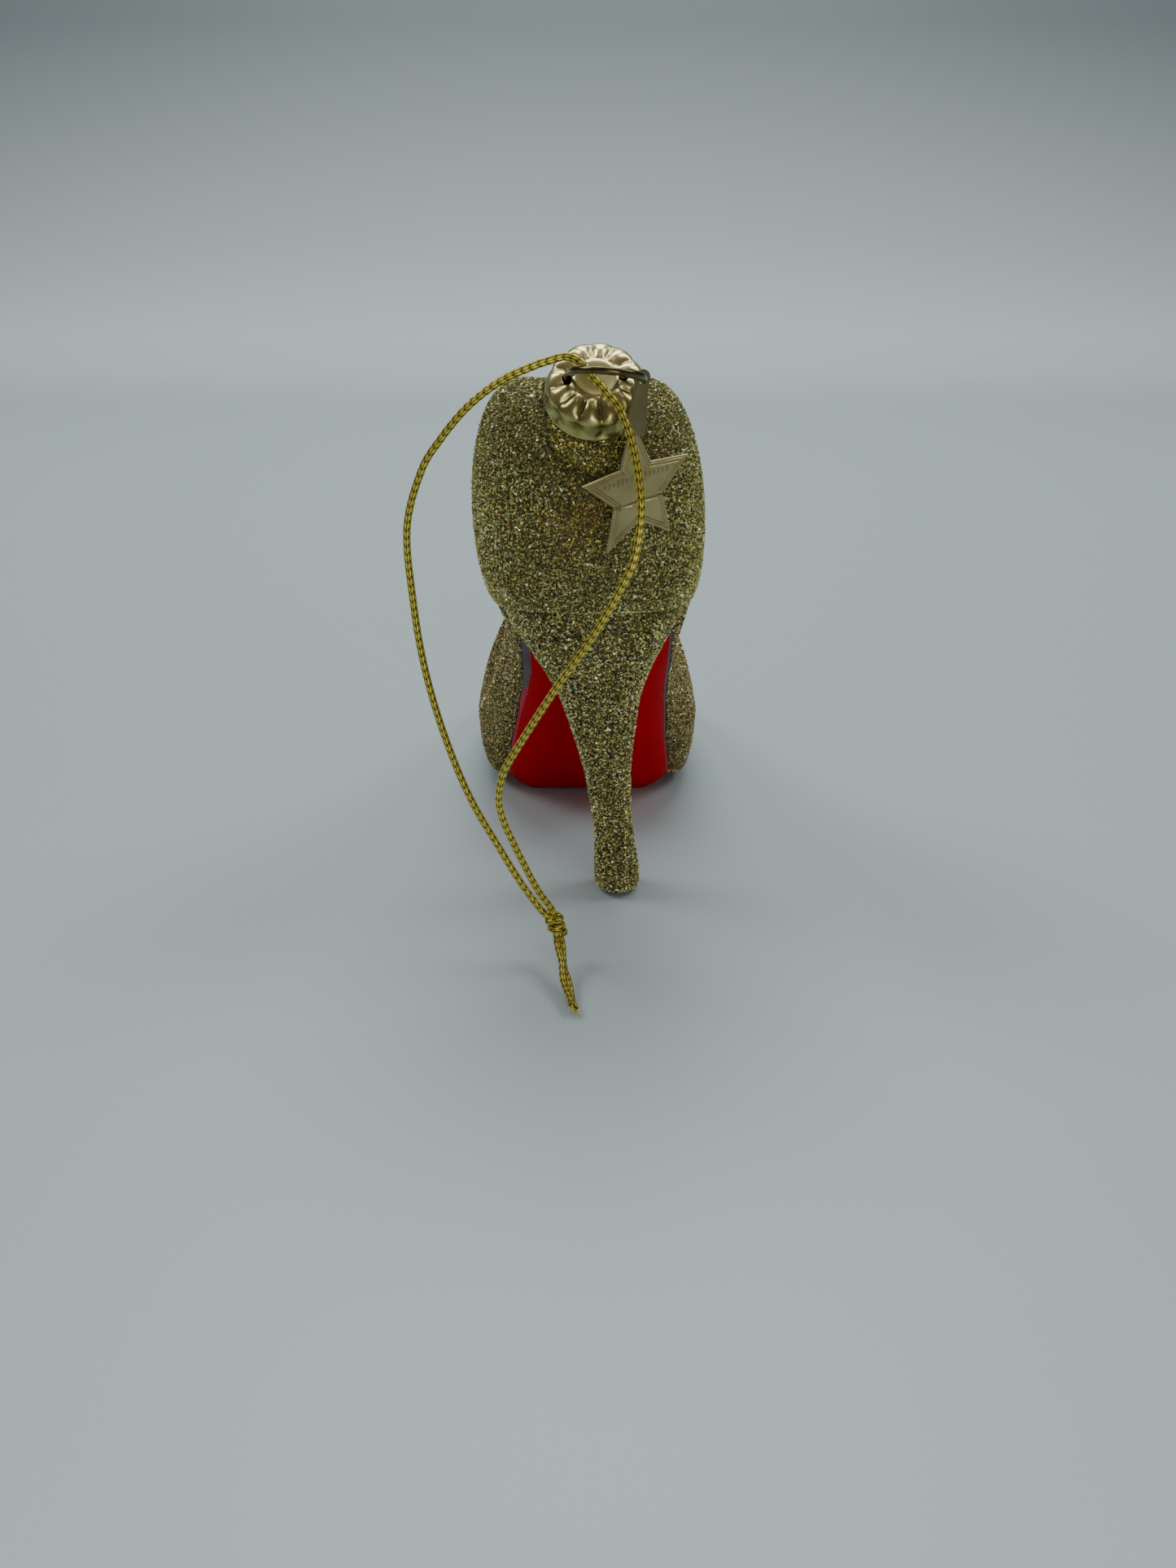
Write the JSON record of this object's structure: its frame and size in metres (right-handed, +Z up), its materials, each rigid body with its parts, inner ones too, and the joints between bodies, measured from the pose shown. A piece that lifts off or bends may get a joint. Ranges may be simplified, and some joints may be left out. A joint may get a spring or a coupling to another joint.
{
  "type": "glass shoe ornament",
  "caption": "Blown-glass stiletto pump ornament, gold glitter with a red lacquer sole, fluted metal cap, wire loop, star tag and a knotted gold cord.",
  "frame": {"origin": "on the floor, under the middle of the ball of the sole", "axes": "+Z up, +Y towards the toe, +X to the shoe's right; the shoe stands on its heel tip and the ball of its sole"},
  "size_m": [0.0404, 0.1154, 0.0745],
  "materials": {
    "glitter_glass": "blown glass with a coat of olive-gold glitter; the sole's underside is glossy red lacquer",
    "cap_metal": "thin stamped sheet, polished champagne gold",
    "wire_metal": "drawn wire, champagne gold",
    "tag_foil": "stamped foil-faced tag, matt champagne gold, embossed",
    "gold_cord": "braided metallic gold thread"
  },
  "bodies": {
    "root": {"shoe": "glitter_glass", "cap": "cap_metal", "hanger_wire": "wire_metal", "star_tag": "tag_foil", "cord_loop": "gold_cord", "cord_knot": "gold_cord", "cord_tail_lower": "gold_cord", "cord_tail_upper": "gold_cord"}
  },
  "joints": []
}
